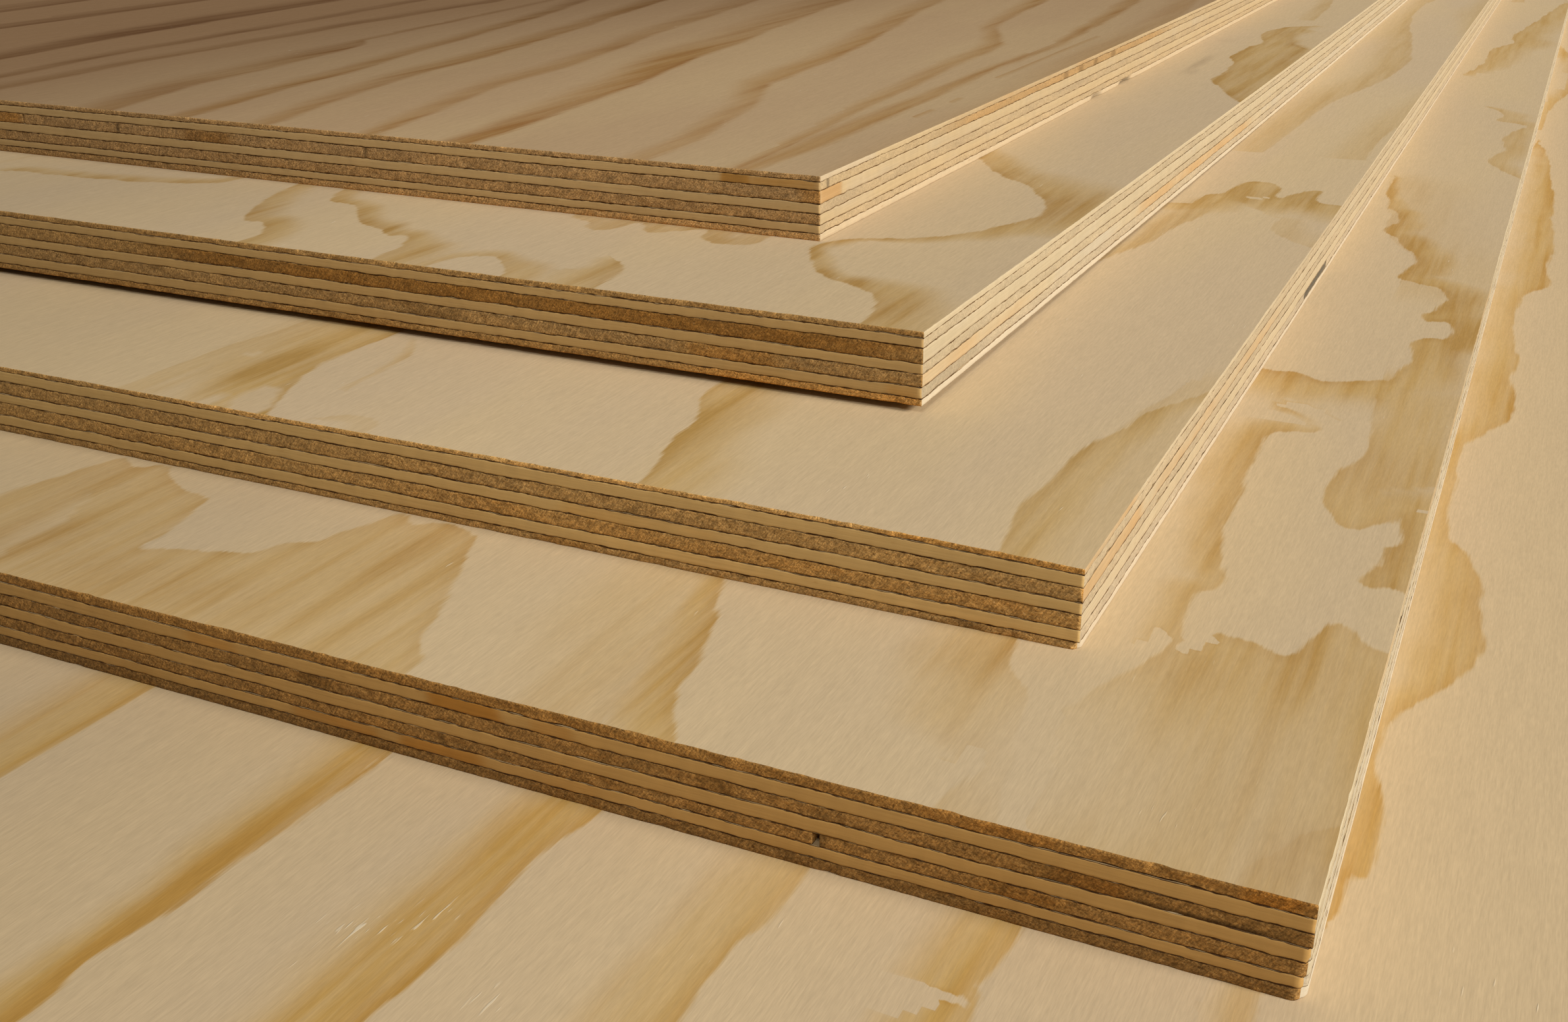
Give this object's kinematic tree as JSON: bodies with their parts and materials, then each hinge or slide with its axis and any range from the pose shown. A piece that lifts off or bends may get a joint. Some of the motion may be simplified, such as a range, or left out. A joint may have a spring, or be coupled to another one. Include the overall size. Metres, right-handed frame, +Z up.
{
  "type": "stack of plywood sheets",
  "caption": "Stepped stack of full-size pine plywood sheets with layered veneer edges, lying flat, the upper sheets' front ends slightly curled.",
  "frame": {"origin": "centre of the lowest sheet's underside", "axes": "+Z up through the stack, +Y along the sheets' long side and face grain, +X to the right seen from the stepped front end, so the stepped corner faces -Y and +X"},
  "size_m": [1.46, 2.7353, 0.0914],
  "materials": {
    "face_veneer": "sanded bare pine, satin",
    "core_veneer": "sawn, rough end grain",
    "crossband_veneer": "sawn, smooth"
  },
  "bodies": {
    "root": {"sheet_1_face_veneer": "face_veneer", "sheet_1_upper_crossband": "crossband_veneer", "sheet_1_upper_core": "core_veneer", "sheet_1_middle_crossband": "crossband_veneer", "sheet_1_lower_core": "core_veneer", "sheet_1_lower_crossband": "crossband_veneer", "sheet_1_back_veneer": "face_veneer", "sheet_2_face_veneer": "face_veneer", "sheet_2_upper_crossband": "crossband_veneer", "sheet_2_upper_core": "core_veneer", "sheet_2_middle_crossband": "crossband_veneer", "sheet_2_lower_core": "core_veneer", "sheet_2_lower_crossband": "crossband_veneer", "sheet_2_back_veneer": "face_veneer", "sheet_3_face_veneer": "face_veneer", "sheet_3_upper_crossband": "crossband_veneer", "sheet_3_upper_core": "core_veneer", "sheet_3_middle_crossband": "crossband_veneer", "sheet_3_lower_core": "core_veneer", "sheet_3_lower_crossband": "crossband_veneer", "sheet_3_back_veneer": "face_veneer", "sheet_4_face_veneer": "face_veneer", "sheet_4_upper_crossband": "crossband_veneer", "sheet_4_upper_core": "core_veneer", "sheet_4_middle_crossband": "crossband_veneer", "sheet_4_lower_core": "core_veneer", "sheet_4_lower_crossband": "crossband_veneer", "sheet_4_back_veneer": "face_veneer", "sheet_5_face_veneer": "face_veneer", "sheet_5_upper_crossband": "crossband_veneer", "sheet_5_upper_core": "core_veneer", "sheet_5_middle_crossband": "crossband_veneer", "sheet_5_lower_core": "core_veneer", "sheet_5_lower_crossband": "crossband_veneer", "sheet_5_back_veneer": "face_veneer"}
  },
  "joints": []
}
